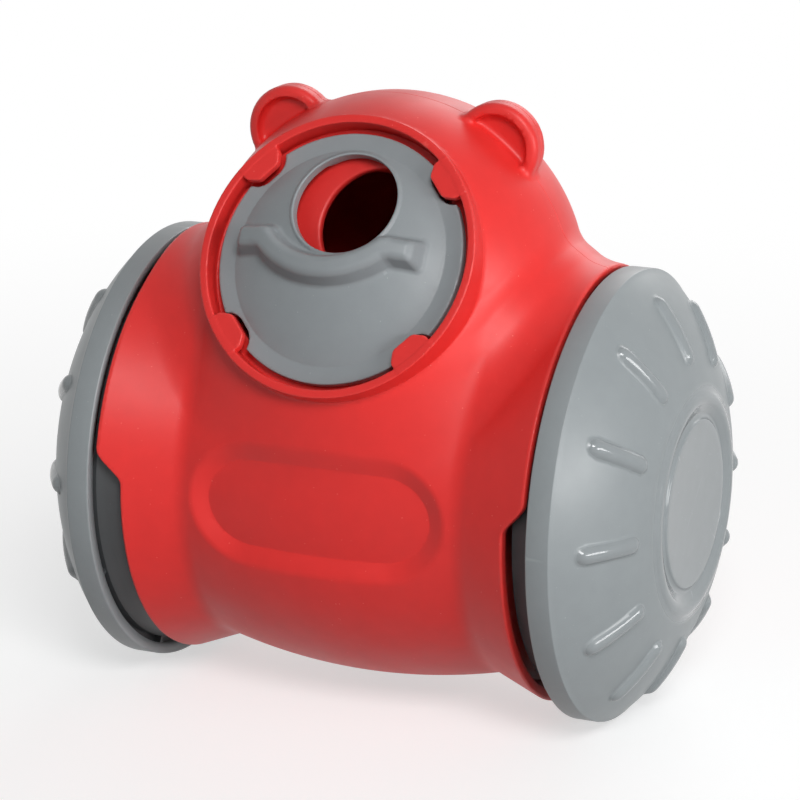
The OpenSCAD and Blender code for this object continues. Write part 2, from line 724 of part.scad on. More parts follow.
// Wheel drum: web with its hub, the skirt that enters the flare and the ribs
module wheel_drum() {
    hub_in = boss_out_x + side_play;
    bore = pin_r + pin_fit + bush_wall + snug;
    edge = rim_bore_r - 2*snug;
    color(dark_gray) on_axle() {
        rotate_extrude() polygon([
            [bore, hub_in], [hub_r, hub_in], [hub_r, web_x], [drum_r - drum_wall, web_x],
            [drum_r - drum_wall, rim_in_x], [drum_tip_r - drum_wall, drum_in_x],
            [drum_tip_r, drum_in_x], [drum_r, rim_in_x], [drum_r, web_x],
            [edge, web_x], [edge, web_x + web_t], [hub_r, web_x + web_t],
            [hub_r, web_x + web_t + bush_wall], [bore, web_x + web_t + bush_wall]]);
        for (i = [0:drum_ribs - 1]) rotate([0, 0, (i + 0.5)*360/drum_ribs]) {
            translate([hub_r - bite, -drum_rib_t/2, web_x - drum_rib_deep])
                cube([drum_tip_r - drum_wall - hub_r + 2*bite, drum_rib_t, drum_rib_deep + bite]);
            rotate([0, 0, 2.2]) translate([drum_r - bite, -rim_rib_t/2, rim_in_x + bite])
                cube([edge - drum_r + bite, rim_rib_t, web_x - rim_in_x]);
        }
    }
}

// Wheel cap: rim, bulged dome with its bars, hub ring and dish
chord = [ring_out_r - wheel_r, ring_base_x - rim_out_x];
dome_out = [chord[1], -chord[0]]/norm(chord);
bulge_r = (chord*chord/4 + dome_bulge*dome_bulge)/(2*dome_bulge);
bulge_centre = [wheel_r, rim_out_x] + chord/2 - (bulge_r - dome_bulge)*dome_out;
function dome_x(r, inset = 0) = bulge_centre[1]
    + sqrt((bulge_r - inset)*(bulge_r - inset) - (r - bulge_centre[0])*(r - bulge_centre[0]));
module cap_section(inset) {
    intersection() {
        translate(bulge_centre) circle(r = bulge_r - inset, $fn = 240);
        translate([ring_crest_r, rim_in_x]) square([wheel_r - ring_crest_r, ring_base_x - rim_in_x]);
    }
    translate([0, rim_in_x]) square([ring_crest_r + bite, dish_x - inset - rim_in_x]);
}

// Bar with round ends, lying on the dome and sunk into it
module bar() {
    sink = bar_r - bar_high;
    from = [bar_in_r + bar_r, dome_x(bar_in_r + bar_r) - sink];
    to = [bar_out_r - bar_r, dome_x(bar_out_r - bar_r) - sink];
    long = norm(to - from);
    translate([from[0], 0, from[1]]) rotate([0, atan2(to[0] - from[0], to[1] - from[1]), 0])
        rotate_extrude($fn = 48) intersection() {
            union() {
                circle(bar_r);
                square([bar_r, long]);
                translate([0, long]) circle(bar_r);
            }
            translate([0, -bar_r]) square([bar_r, long + 2*bar_r]);
        }
}
module wheel_cap() {
    color(pale_gray) on_axle() difference() {
        union() {
            rotate_extrude() {
                cap_section(0);
                translate([ring_crest_r, ring_crest_x - ring_tube_r]) circle(ring_tube_r);
                polygon([
                    [dish_r, dish_x], [ring_crest_r - ring_tube_r*0.6, ring_crest_x - ring_tube_r/2],
                    [ring_crest_r, ring_crest_x - ring_tube_r], [ring_crest_r, dish_x - bite],
                    [dish_r, dish_x - bite]]);
            }
            for (i = [0:bars - 1]) rotate([0, 0, i*360/bars]) bar();
        }
        rotate_extrude() intersection() {
            cap_section(cap_wall);
            translate([0, rim_in_x - over]) square([rim_bore_r, ring_base_x]);
        }
        translate([0, 0, rim_in_x - over]) cylinder(r = rim_bore_r, h = 2*over);
    }
}

// Steel ballast in the bottom of the belly, under a screwed cover
module ballast_block(half_x, half_y, top, r) {
    intersection() {
        translate([-half_x, -half_y, 0]) cube([2*half_x, 2*half_y, wheel_r - top]);
        translate([0, 0, wheel_r]) rotate([0, 90, 0]) cylinder(r = r, h = 2*half_x, center = true);
    }
}
module at_cover_screws() {
    for (hand = [-1, 1]) translate([hand*cover_screw_x, 0, wheel_r - ballast_top + cover_gap + cover_t])
        children();
}
module ballast_weight() {
    color(steel) difference() {
        ballast_block(ballast_half, ballast_side, ballast_top, ballast_r);
        at_cover_screws() translate([0, 0, -cover_screw_len - over])
            cylinder(r = cover_screw_r + snug, h = cover_screw_len + over);
    }
}
module ballast_cover() {
    grow = cover_gap + cover_t;
    color(dark_gray) difference() {
        ballast_block(ballast_half + grow, ballast_side + grow, ballast_top - grow, ballast_r + grow);
        ballast_block(ballast_half + cover_gap, ballast_side + cover_gap, ballast_top - cover_gap,
            ballast_r + grow + over);
        at_cover_screws() translate([0, 0, -cover_t - over])
            cylinder(r = cover_screw_r + snug, h = cover_t + 2*over);
    }
}
module cover_screws() {
    color(steel) at_cover_screws() translate([0, 0, snug])
        screw(cover_screw_r, cover_screw_len, cover_head_r, cover_head_h);
}

front_shell();
rear_shell();
shell_screws();
outlet_collar();
throat_plate();
twist_lid();
left() end_plate();  // left_end_plate
end_plate();  // right_end_plate
left() axle_pin();  // left_axle_pin
axle_pin();  // right_axle_pin
left() bush();  // left_bush
bush();  // right_bush
left() wheel_drum();  // left_wheel_drum
wheel_drum();  // right_wheel_drum
left() wheel_cap();  // left_wheel_cap
wheel_cap();  // right_wheel_cap
left() washer();  // left_washer
washer();  // right_washer
left() axle_screw();  // left_axle_screw
axle_screw();  // right_axle_screw
ballast_weight();
ballast_cover();
cover_screws();
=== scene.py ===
"""Looks of the treat dispensing roller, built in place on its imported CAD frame.

Shapes are worked out in millimetres, with x along the axle, y to the rear and z up from the floor.
Curved shells are the zero level of a distance function, meshed on a grid and moved onto the true surface.
"""

import json
import math

import bpy
import numpy as np
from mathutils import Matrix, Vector


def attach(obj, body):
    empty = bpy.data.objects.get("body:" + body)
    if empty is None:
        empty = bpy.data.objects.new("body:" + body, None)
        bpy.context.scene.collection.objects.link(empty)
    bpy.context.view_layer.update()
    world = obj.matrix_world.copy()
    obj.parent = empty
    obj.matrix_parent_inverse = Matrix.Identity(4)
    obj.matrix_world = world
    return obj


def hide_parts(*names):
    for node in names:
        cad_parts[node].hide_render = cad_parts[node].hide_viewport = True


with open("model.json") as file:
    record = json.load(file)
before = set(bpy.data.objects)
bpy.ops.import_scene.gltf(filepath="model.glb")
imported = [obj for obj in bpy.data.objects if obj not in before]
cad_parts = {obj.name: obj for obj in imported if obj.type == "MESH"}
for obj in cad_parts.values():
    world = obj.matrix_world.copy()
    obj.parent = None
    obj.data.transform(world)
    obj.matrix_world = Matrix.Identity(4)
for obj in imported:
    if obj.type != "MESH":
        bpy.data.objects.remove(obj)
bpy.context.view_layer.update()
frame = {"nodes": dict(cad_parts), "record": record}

MM = 0.001

# Mesher: step that slopes are read over, limits of the moves onto faces and edges, and what makes a crease
EVEN_ROUNDS = 3
FOLLOW_ROUNDS = 2
FOLLOW_STEP = 0.01
LEAST_STEEP = 0.05
FLAT_SHARE = 0.06
EDGE_REACH = 0.6
CORNER_LOOK = 0.3
CREASE_DOT = 0.985

# Grids: lowest corner, highest corner and step
BODY_GRID = ((-51.2, -51, -1), (51.2, 51, 136.5), 0.8)
COLLAR_GRID = ((-32.6, -32.6, -13.2), (32.6, 32.6, 0.9), 0.5)
THROAT_GRID = ((-30.5, -30.5, -13), (30.5, 30.5, -4.4), 0.55)
LID_GRID = ((-28.8, -28.8, -9), (28.8, 28.8, 7.4), 0.45)

# Body
AXLE_UP = 50.0
BELLY_R = 46.4
BELLY_ARC_R = 127.0
CREASE_X = 32.5
CREASE_R = 42.2
CREASE_SOFT = 1.3
FLARE_SHARE = 0.4
FLARE_X = 50.3
CUTBACK_X = 45.1
CUTBACK_LOW = 3.0
CUTBACK_HIGH = 11.0
WALL = 2.4
END_ROUND = 0.7
INNER_ROUND = 0.4
SEAM_WIDE = 0.26
SEAM_DEEP = 0.3
SEAM_LEAN = 0.9

# Head and ears, from the axle
HEAD_R = 42.2
HEAD_UP = 42.8
NECK_R = 1.5
SHOULDER_HIGH = 9.6
SHOULDER_SHARE = 1.25
SHOULDER_SOFT = 5.0
EAR_X = 24.6
EAR_UP = 75.2
EAR_R = 9.8
EAR_FRONT = 3.4
EAR_BACK = 2.9
EAR_ROUND = 1.5
EAR_HOLLOW_R = 7.4
EAR_HOLLOW_DEEP = 2.1
EAR_BOWL_ROUND = 1.4
EAR_LIP_ROUND = 0.4
EAR_FOOT_ROUND = 1.3

# Sunk panel in the belly
PANEL_W = 60.0
PANEL_H = 28.4
PANEL_SLOPE = 3.8
PANEL_UP = 1.4
PANEL_DEEP = 2.3
PANEL_SHOULDER = 0.5
PANEL_FOOT = 0.1

# Wells of the shell screws, behind the seam
WELL_PLACES = ((26.5, -19.95), (29.5, 18.56))
WELL_R = 3.2
WELL_SEAT_Y = 10.0
WELL_WALL = 1.6
WELL_FLOOR = 2.0
WELL_ROUND = 0.35
SKIN_HIDE = 0.5

# Outlet: collar, lid and throat plate, along the outlet's own axis with the rim at zero
RIM_FORE = 31.5
RIM_UP = 105.5
OUTLET_TILT = math.radians(29.5)
COLLAR_R = 31.6
COLLAR_BORE_R = 29.75
COLLAR_LEN = 12.6
COLLAR_FOOT_ROUND = 0.6
COLLAR_SINK = 0.1
COLLAR_INSET = 1.0
RIM_ROUND = 0.3
LEDGE_BORE_R = 26.5
LEDGE_TOP = -5.0
LEDGE_BOTTOM = -10.2
LEDGE_ROUND = 0.4
TAB_ANGLES = (41, 139.5, 222, 318)
TAB_IN_R = 25.9
TAB_W = 9.6
TAB_TIP_W = 5.4
TAB_SIDE = 2.2
TAB_T = 1.9
TAB_CORNER = 0.5
TAB_ROUND = 0.25
TAB_FOOT_ROUND = 0.3

LID_R = 28.0
LID_TOP = -2.3
LID_FLANGE_T = 2.4
LID_DOME_R = 24.2
LID_DOME_RISE = 5.0
LID_BALL_R = (LID_DOME_R**2 + LID_DOME_RISE**2)/(2*LID_DOME_RISE)
LID_BALL_OUT = LID_TOP + LID_DOME_RISE - LID_BALL_R
LID_REACH = 30.0
LID_WALL = 2.0
LID_ROUND = 0.35
LID_INNER_ROUND = 0.3
LID_BORE_ROUND = 0.2
LID_DOME_ROUND = 0.5
SKIRT_R = 24.65
SKIRT_WALL = 1.5
SKIRT_LEN = 3.6
SKIRT_LAP = 1.0
OUTLET_R = 11.7
OUTLET_OFF = 11.35
OUTLET_ROUND = 0.4
LIP_WALL = 0.8
LIP_HIGH = 0.3
LIP_DEEP = 2.2
NOTCH_ROOM = 0.7

GRIP_HALF = 20.4
GRIP_SIDE = -1.7
GRIP_W = 4.0
GRIP_ARM_UP = 1.5
GRIP_BOW = 6.0
GRIP_BOW_HALF = 14.2
GRIP_HIGH = 4.6
GRIP_FLARE = 1.4
GRIP_ROUND = 1.3
GRIP_CORNER = 1.2
GRIP_INNER_ROUND = 0.6
GRIP_FOOT_ROUND = 0.7

THROAT_TOP = -5.3
THROAT_T = 2.0
THROAT_LAP = 1.0
THROAT_ROUND = 0.5
THROAT_FOOT_ROUND = 0.4
THROAT_HOLE_ROUND = 0.6
THROAT_R = 12.8
THROAT_OFF = 10.3
THROAT_ANGLE = math.radians(58)
SPIGOT_R = 24.6

# Wheel caps
WHEEL_R = 50.0
RIM_IN_X = 51.4
RIM_OUT_X = 56.35
RIM_BORE_R = 47.6
RIM_BEVEL = 0.35
RIM_BACK = 0.4
CAP_WALL = 2.2
DOME_BULGE = 1.8
RING_OUT_R = 27.0
RING_BASE_X = 70.75
RING_CREST_R = 23.2
RING_CREST_X = 71.85
RING_TUBE_R = 2.6
HUB_GROOVE_R = 19.6
HUB_GROOVE_X = 70.65
HUB_GROOVE_ROUND = 0.8
HUB_DISC_R = 18.75
HUB_DISC_X = 71.4
HUB_DISC_ROUND = 0.6
HUB_DISH = 0.35
HUB_BACK_X = 65.2
HUB_BACK_R = 17.4
BARS = 12
BAR_IN_R = 30.6
BAR_OUT_R = 45.6
BAR_R = 2.3
BAR_HIGH = 1.4
BAR_FOOT_SOFT = 0.12
FOOT_PULL = 0.21
BARS_CLEAR = 1.0

# Rings of the caps' outline: arcs as first and last angle and count, then radii and steps between radii
RIM_BACK_ARC = (-90, 0, 4)
RIM_FRONT_ARC = (0, 62, 4)
RING_ARC = (48, 128, 14)
HUB_GROOVE_ARC = (-40, -110, 8)
HUB_DISC_ARC = (15, 90, 7)
HUB_CORE_R = 1
HUB_DISC_ROWS = (16.5, 14, 11, 8, 5, 3, HUB_CORE_R)
DOME_ROW = 0.4
BACK_ROW = 1.5
BACK_END = 0.9
CAP_STEPS = 576

# Camera of the photograph, which is 800 pixels wide and high
PHOTO_PX = 800
CAMERA_AZIMUTH = 23.96
CAMERA_ELEVATION = 16.89
CAMERA_DISTANCE = 0.77533
CAMERA_FOCAL_PX = 3440.85
CAMERA_CENTRE_PX = (395.46, 465.15)
SENSOR_MM = 36.0

# Studio: softboxes by name, with azimuth from the front towards the right, elevation, size and power
LIGHT_AIM = Vector((0, 0, 0.07))
LIGHT_DISTANCE = 1.3
SOFTBOXES = (
    ("key_softbox", 32, 38, (0.45, 0.45), 10.0),
    ("side_softbox", 74, 9, (0.8, 0.3), 8.5),
    ("rear_softbox", 180, 30, (0.8, 0.8), 4.5))
AMBIENT = 0.1
FLOOR_REACH = 3.0
FLOOR_COLOR = (0.5, 0.5, 0.5)
FLOOR_GLOW = 0.58
FLOOR_FADE = (0.12, 0.5)

# Finishes: how far each effect goes, and the colours of the steel
SWELL_SHARE = 0.35
SPECK_SHARP = 14.0
DEEP_TONE = 0.9
SPECK_SHARE = 0.55
RUB_SHARE = 0.6
RUB_SMOOTH = 0.12
HAZE_ROUGH = 0.08
POLISH_FLAT = 0.85
STEEL_DEEP = (0.42, 0.43, 0.45)
STEEL_PALE = (0.6, 0.61, 0.63)
STEEL_WORN = (0.75, 0.75, 0.76)
STEEL_ROUGH = 0.26
STEEL_HAZE = 0.2


# Rounded joins of distance functions

def smooth_max(a, b, width):
    """The larger of two values, rounded off where they are within width of each other."""
    near = np.maximum(width - np.abs(a - b), 0)/width
    return np.maximum(a, b) + near*near*width/4


def joined(a, b, r):
    """Union of two shapes with a hollow of radius r where they meet."""
    return np.maximum(r, np.minimum(a, b)) - np.hypot(np.maximum(r - a, 0), np.maximum(r - b, 0))


def trimmed(a, b, r):
    """What two shapes share, with edges of radius r where they meet."""
    return -joined(-a, -b, r)


def between(value, low, high):
    """What lies between two levels of a value."""
    return np.abs(value - (low + high)/2) - (high - low)/2


def ease(share):
    """A share from 0 to 1 that starts and stops gently."""
    s = np.clip(share, 0, 1)
    return s*s*(3 - 2*s)


# Grid mesher

def surface_net(shape, low, high, step):
    """Points and quads near the zero level of shape, and each point's cell on the y axis.

    The grid is laid so that y = 0 runs through the middle of a layer of cells.
    """
    low = np.array(low, float)
    low[1] = -(math.ceil(-low[1]/step) + 0.5)*step
    size = np.ceil((np.array(high) - low)/step).astype(int) + 1
    x, y, z = (low[k] + step*np.arange(size[k]) for k in range(3))
    field = shape(x[:, None, None], y[None, :, None], z[None, None, :])
    inside = field < 0
    cells = tuple(size - 1)
    total = int(np.prod(cells))
    hits = np.zeros(total)
    sums = np.zeros((total, 3))
    quads = []
    for axis in range(3):
        u, v = (axis + 1) % 3, (axis + 2) % 3
        onward = np.eye(3, dtype=int)[axis]
        near = np.take(inside, range(size[axis] - 1), axis)
        far = np.take(inside, range(1, size[axis]), axis)
        flips = np.argwhere(near != far)
        flips = flips[((flips[:, [u, v]] > 0) & (flips[:, [u, v]] < size[[u, v]] - 1)).all(1)]
        start = field[tuple(flips.T)]
        end = field[tuple((flips + onward).T)]
        crossings = low + step*(flips + (start/(start - end))[:, None]*onward)
        around = []
        for du, dv in ((0, 0), (-1, 0), (-1, -1), (0, -1)):
            shift = np.zeros(3, int)
            shift[u], shift[v] = du, dv
            ids = np.ravel_multi_index((flips + shift).T, cells)
            hits += np.bincount(ids, minlength=total)
            sums += summed(ids, crossings, total)
            around.append(ids)
        ring = np.stack(around, 1)
        quads.append(np.where((start < 0)[:, None], ring, ring[:, ::-1]))
    used = np.flatnonzero(hits)
    order = np.full(total, -1)
    order[used] = np.arange(len(used))
    points = sums[used]/hits[used, None]
    layer = np.unravel_index(used, cells)[1]
    seam_layer = round(-low[1]/step - 0.5)
    return points, order[np.concatenate(quads)], layer - seam_layer


def slopes(shape, points):
    """Gradient of a distance function at each point."""
    out = np.zeros_like(points)
    for k in range(3):
        shift = np.zeros(3)
        shift[k] = FOLLOW_STEP
        ahead, behind = points + shift, points - shift
        out[:, k] = (shape(*ahead.T) - shape(*behind.T))/(2*FOLLOW_STEP)
    return out


def onto_surface(shape, points, held, step, rounds):
    """Moves points onto the zero level; those held keep their y."""
    for _ in range(rounds):
        slope = slopes(shape, points)
        slope[held, 1] = 0
        steep = np.maximum((slope*slope).sum(1), LEAST_STEEP)
        move = -slope*(shape(*points.T)/steep)[:, None]
        reach = np.linalg.norm(move, axis=1)
        points = points + move*np.minimum(1, step/np.maximum(reach, 1e-9))[:, None]
    return points


def summed(ids, values, total):
    """Sum of the rows of values that belong to each id."""
    return np.stack([np.bincount(ids, weights=column, minlength=total) for column in values.T], 1)


def unit(vectors):
    """Each vector at length one."""
    return vectors/np.maximum(np.linalg.norm(vectors, axis=-1), 1e-9)[..., None]


def evened(points, quads, held):
    """Each point moved halfway to the middle of its neighbours; those held stay in their plane."""
    pairs = np.concatenate([quads[:, [k, (k + 1) % 4]] for k in range(4)])
    count = np.bincount(pairs.ravel(), minlength=len(points))
    middle = summed(pairs[:, 0], points[pairs[:, 1]], len(points))
    middle += summed(pairs[:, 1], points[pairs[:, 0]], len(points))
    out = (points + middle/np.maximum(count, 1)[:, None])/2
    out[held] = points[held]
    return out


def onto_edges(shape, points, quads, held, step):
    """Points near an edge moved to where the flats around them meet, which keeps the edge crisp."""
    none_held = np.zeros(len(quads), bool)
    flats = onto_surface(shape, points[quads].mean(1), none_held, step, 1)
    facing = unit(slopes(shape, flats))
    square = (facing[:, :, None]*facing[:, None, :]).reshape(-1, 9)
    reach = (facing*flats).sum(1)[:, None]*facing
    ids = quads.ravel()
    squares = summed(ids, np.repeat(square, 4, 0), len(points)).reshape(-1, 3, 3)
    pulls = summed(ids, np.repeat(reach, 4, 0), len(points))
    pulls += FLAT_SHARE*points
    met = np.linalg.solve(squares + FLAT_SHARE*np.eye(3), pulls[:, :, None])[:, :, 0]
    move = met - points
    far = np.linalg.norm(move, axis=1)
    move *= np.minimum(1, EDGE_REACH*step/np.maximum(far, 1e-9))[:, None]
    move[held] = 0
    return onto_surface(shape, points + move, held, step, 1)


def corner_normals(shape, points, quads):
    """A normal for each corner of each quad, split only where an edge runs through the point."""
    smooth = unit(slopes(shape, points))[quads]
    corners = points[quads]
    looked = corners + CORNER_LOOK*(corners.mean(1)[:, None] - corners)
    sides = unit(slopes(shape, looked.reshape(-1, 3))).reshape(smooth.shape)
    bent = ((smooth*sides).sum(2) < CREASE_DOT).ravel()
    creased = np.bincount(quads.ravel(), weights=bent, minlength=len(points)) > 0
    return np.where(creased[quads][:, :, None], sides, smooth)


def meshed(shape, low, high, step, seam=False):
    """Points, quads, normals of the quads' corners, and seam layers of a shape's surface."""
    points, quads, layer = surface_net(shape, low, high, step)
    held = (layer == 0) & seam
    points[held, 1] = 0
    for _ in range(EVEN_ROUNDS):
        points = onto_surface(shape, evened(points, quads, held), held, step, FOLLOW_ROUNDS)
    points = onto_edges(shape, points, quads, held, step)
    return points, quads, corner_normals(shape, points, quads), layer


def piece(name, points, faces, material, body, nodes, normals=None):
    """A new mesh object from points in millimetres, riding on a body in place of CAD nodes."""
    mesh = bpy.data.meshes.new(name)
    mesh.from_pydata((np.asarray(points)*MM).tolist(), [], [list(map(int, f)) for f in faces])
    mesh.shade_smooth()
    if normals is not None:
        mesh.normals_split_custom_set(np.asarray(normals).reshape(-1, 3).tolist())
    mesh.materials.append(material)
    made = bpy.data.objects.new(name, mesh)
    bpy.context.scene.collection.objects.link(made)
    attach(made, body)
    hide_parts(*nodes)
    return made


# Body shells

def spool_r(x):
    """Radius of the body round the axle: a barrel that flares out beyond the creases."""
    flare = CREASE_R + FLARE_SHARE*(np.abs(x) - CREASE_X)
    return smooth_max(BELLY_R - x*x/(2*BELLY_ARC_R), flare, CREASE_SOFT)


def plain_skin(x, y, up, q):
    """Spool and ball head with a sloping shoulder between them; up is measured from the axle."""
    belly = (q - spool_r(x))/math.hypot(1, FLARE_SHARE)
    head = np.sqrt(x*x + y*y + (up - HEAD_UP)**2) - HEAD_R
    shoulder = (belly + SHOULDER_SHARE*head - SHOULDER_HIGH)/math.hypot(1, SHOULDER_SHARE)
    return joined(joined(belly, shoulder, SHOULDER_SOFT), head, NECK_R)


def ear_shape(x, y, up):
    across = np.hypot(np.abs(x) - EAR_X, up - EAR_UP)
    disc = trimmed(across - EAR_R, between(y, -EAR_FRONT, EAR_BACK), EAR_ROUND)
    hollow = trimmed(across - EAR_HOLLOW_R, y + EAR_FRONT - EAR_HOLLOW_DEEP, EAR_BOWL_ROUND)
    return trimmed(disc, -hollow, EAR_LIP_ROUND)


def panel_sink(x, y, up, q):
    """Depth of the sunk panel at each place on the front of the belly."""
    turn = np.arctan2(-y, -up) - math.pi/2 - math.asin(PANEL_UP/BELLY_R)
    along = np.maximum(np.abs(x) - (PANEL_W - PANEL_H)/2, 0)
    edge = PANEL_H/2 - np.hypot(along, turn*BELLY_R)
    ramp = smooth_max(PANEL_DEEP*edge/PANEL_SLOPE, 0*edge, PANEL_SHOULDER)
    return -smooth_max(-ramp, -PANEL_DEEP + 0*edge, PANEL_FOOT)*(y < 0)


def outlet_axes(y, z):
    """Height above and distance along the outlet's axis of places in the frame of the floor."""
    fore, up = y + RIM_FORE, z - RIM_UP
    return (fore*math.sin(OUTLET_TILT) + up*math.cos(OUTLET_TILT),
            -fore*math.cos(OUTLET_TILT) + up*math.sin(OUTLET_TILT))


def body_shape(x, y, z):
    up = z - AXLE_UP
    q = np.hypot(y, up)
    plain = plain_skin(x, y, up, q)
    sink = panel_sink(x, y, up, q)
    skin = joined(plain + sink, ear_shape(x, y, up), EAR_FOOT_ROUND)
    across_up, out = outlet_axes(y, z)
    ring = np.hypot(x, across_up)
    tube = np.maximum(ring - COLLAR_R + COLLAR_SINK, between(out, COLLAR_INSET - COLLAR_LEN, -COLLAR_INSET))
    skin = joined(skin, tube, COLLAR_FOOT_ROUND)
    edge_r = CREASE_R + FLARE_SHARE*(FLARE_X - CREASE_X)
    cut_share = (edge_r*up/np.maximum(q, 1) - CUTBACK_LOW)/(CUTBACK_HIGH - CUTBACK_LOW)
    end_x = CUTBACK_X + (FLARE_X - CUTBACK_X)*ease(cut_share)
    skin = trimmed(skin, np.abs(x) - end_x, END_ROUND)
    shell = trimmed(skin, -(plain + sink + WALL), INNER_ROUND)
    for well_x, well_up in WELL_PLACES:
        well = np.hypot(np.abs(x) - well_x, up - well_up)
        post = np.maximum(well - WELL_R - WELL_WALL, WELL_SEAT_Y - WELL_FLOOR - y)
        shell = np.minimum(shell, np.maximum(post, skin + SKIN_HIDE))
        shell = trimmed(shell, -np.maximum(well - WELL_R, WELL_SEAT_Y - y), WELL_ROUND)
    bore = np.maximum(ring - (COLLAR_R + COLLAR_BORE_R)/2, -out - COLLAR_LEN)
    return np.maximum(shell, -bore)


def seam_side(points, quads, normals, layer, side):
    """One shell: the faces on its side of the seam, with a sloping lip down into the parting line."""
    mine = (side*layer[quads] > 0).any(1)
    used, faces = np.unique(quads[mine], return_inverse=True)
    faces = faces.reshape(-1, 4)
    normals = normals[mine]
    points, on_seam = points[used].copy(), layer[used] == 0
    outward = unit(summed(faces.ravel(), normals.reshape(-1, 3), len(points)))
    edges = np.concatenate([faces[:, [k, (k + 1) % 4]] for k in range(4)])
    keyed = edges[:, 0]*len(points) + edges[:, 1]
    back = edges[:, 1]*len(points) + edges[:, 0]
    rim = edges[~np.isin(keyed, back) & on_seam[edges].all(1)]
    rim_points = np.unique(rim)
    lip = points[rim_points] - outward[rim_points]*[SEAM_DEEP, 0, SEAM_DEEP]
    lip_facing = unit(outward - [0, SEAM_LEAN*side, 0])
    points[rim_points, 1] += side*SEAM_WIDE/2
    place = np.full(len(points), -1)
    place[rim_points] = len(points) + np.arange(len(rim_points))
    slope = np.stack([rim[:, 1], rim[:, 0], place[rim[:, 0]], place[rim[:, 1]]], 1)
    slope_normals = lip_facing[np.stack([rim[:, 1], rim[:, 0], rim[:, 0], rim[:, 1]], 1)]
    return (np.concatenate([points, lip]), np.concatenate([faces, slope]),
            np.concatenate([normals, slope_normals]))


def make_body(material):
    net = meshed(body_shape, *BODY_GRID, seam=True)
    for name, node, side in (("body_front", "front_shell", -1), ("body_rear", "rear_shell", 1)):
        points, faces, normals = seam_side(*net, side)
        piece(name, points, faces, material, "body", [node], normals)


# Pieces on the outlet's axis: x across, u up the slope and out along the axis

def to_outlet(points):
    """Places on the outlet's own axes turned into the frame of the floor."""
    x, u, out = points.T
    tilt_s, tilt_c = math.sin(OUTLET_TILT), math.cos(OUTLET_TILT)
    return np.stack([x, u*tilt_s - out*tilt_c, u*tilt_c + out*tilt_s], 1)


def tab_plan(x, u, room):
    """Plan of the four tabs, grown by room."""
    cut = (TAB_W - TAB_TIP_W)/2
    plans = []
    for turn in map(math.radians, TAB_ANGLES):
        along = x*math.cos(turn) + u*math.sin(turn)
        aside = np.abs(u*math.cos(turn) - x*math.sin(turn)) - TAB_W/2
        corner = ((TAB_IN_R + TAB_SIDE - along)*cut + aside*TAB_SIDE)/math.hypot(cut, TAB_SIDE)
        plans.append(trimmed(trimmed(aside, corner, TAB_CORNER), TAB_IN_R - along, TAB_CORNER) - room)
    return np.minimum.reduce(plans)


def collar_shape(x, u, out):
    ring = np.hypot(x, u)
    wall = trimmed(trimmed(ring - COLLAR_R, COLLAR_BORE_R - ring, RIM_ROUND), out, RIM_ROUND)
    wall = np.maximum(wall, -out - COLLAR_LEN)
    inside = ring - COLLAR_R + RIM_ROUND
    tabs = np.maximum(trimmed(tab_plan(x, u, 0), between(out, -TAB_T, 0), TAB_ROUND), inside)
    ledge = trimmed(LEDGE_BORE_R - ring, between(out, LEDGE_BOTTOM, LEDGE_TOP), LEDGE_ROUND)
    return joined(joined(wall, tabs, TAB_FOOT_ROUND), np.maximum(ledge, inside), LEDGE_ROUND)


def throat_shape(x, u, out):
    ring = np.hypot(x, u)
    bottom = THROAT_TOP - COLLAR_LEN/2
    plate = trimmed(ring - SPIGOT_R, between(out, THROAT_TOP - THROAT_T, THROAT_TOP), THROAT_ROUND)
    tube = np.maximum(between(ring, SPIGOT_R - THROAT_T, SPIGOT_R),
                      between(out, bottom, THROAT_TOP - THROAT_LAP))
    foot = np.maximum(between(ring, SPIGOT_R, COLLAR_BORE_R),
                      between(out, bottom - THROAT_T/2, bottom + THROAT_T/2))
    hole_x, hole_u = THROAT_OFF*math.cos(THROAT_ANGLE), THROAT_OFF*math.sin(THROAT_ANGLE)
    solid = np.minimum(joined(plate, tube, THROAT_FOOT_ROUND), foot)
    return trimmed(solid, THROAT_R - np.hypot(x - hole_x, u - hole_u), THROAT_HOLE_ROUND)


def dome_rise(x, u):
    """Height of the lid's dome over the plane of the rim."""
    return LID_BALL_OUT + np.sqrt(LID_BALL_R**2 - np.minimum(x*x + u*u, LID_REACH**2))


def grip_shape(x, u, out):
    """Bar of two short arms with a bow of one radius between them, which hangs round the hole."""
    high = out - dome_rise(x, u)
    half = GRIP_W/2 + GRIP_FLARE*np.clip(1 - high/GRIP_HIGH, 0, 1 + LID_WALL/GRIP_HIGH)
    side = x - GRIP_SIDE
    bow_r = (GRIP_BOW_HALF**2 + GRIP_BOW**2)/(2*GRIP_BOW)
    middle_up = GRIP_ARM_UP - GRIP_BOW + bow_r
    in_bow = (np.abs(side)*(middle_up - GRIP_ARM_UP) < GRIP_BOW_HALF*(middle_up - u)) & (u < middle_up)
    to_bow = np.abs(np.hypot(side, u - middle_up) - bow_r)
    to_end = np.hypot(np.abs(side) - GRIP_BOW_HALF, u - GRIP_ARM_UP)
    bow = np.where(in_bow, to_bow, to_end) - half
    end = np.abs(side) - GRIP_HALF + GRIP_W/2 - half
    sides = np.abs(u - GRIP_ARM_UP) - half
    arms = trimmed(sides, np.maximum(end, GRIP_BOW_HALF - np.abs(side)), GRIP_CORNER)
    bar = trimmed(joined(bow, arms, GRIP_INNER_ROUND), high - GRIP_HIGH, GRIP_ROUND)
    return np.maximum(bar, -high - LID_WALL/2)


